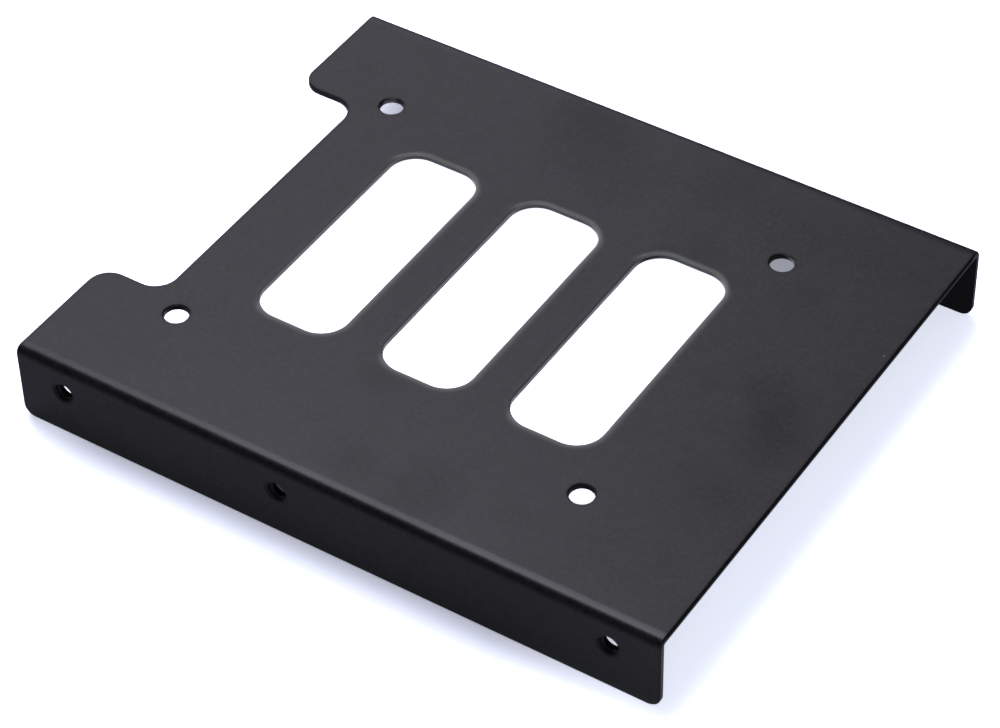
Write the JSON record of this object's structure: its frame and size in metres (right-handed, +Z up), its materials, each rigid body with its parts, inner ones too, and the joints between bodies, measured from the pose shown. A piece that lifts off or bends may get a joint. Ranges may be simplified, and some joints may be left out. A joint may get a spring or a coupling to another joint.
{
  "type": "drive bay adapter bracket",
  "caption": "Folded sheet bracket with side flanges, a notched end and slots, which holds a small drive in a larger drive bay.",
  "frame": {"origin": "midway between the flanges and between the ends, on the surface that the flange edges stand on", "axes": "+X along the flanges from the notched end to the plain end, +Y across the plate to the far flange, +Z up, with the plate on top"},
  "size_m": [0.1196, 0.1016, 0.0145],
  "materials": {
    "black_paint": "satin black paint, very fine texture"
  },
  "bodies": {
    "root": {"bracket": "black_paint"}
  },
  "joints": []
}
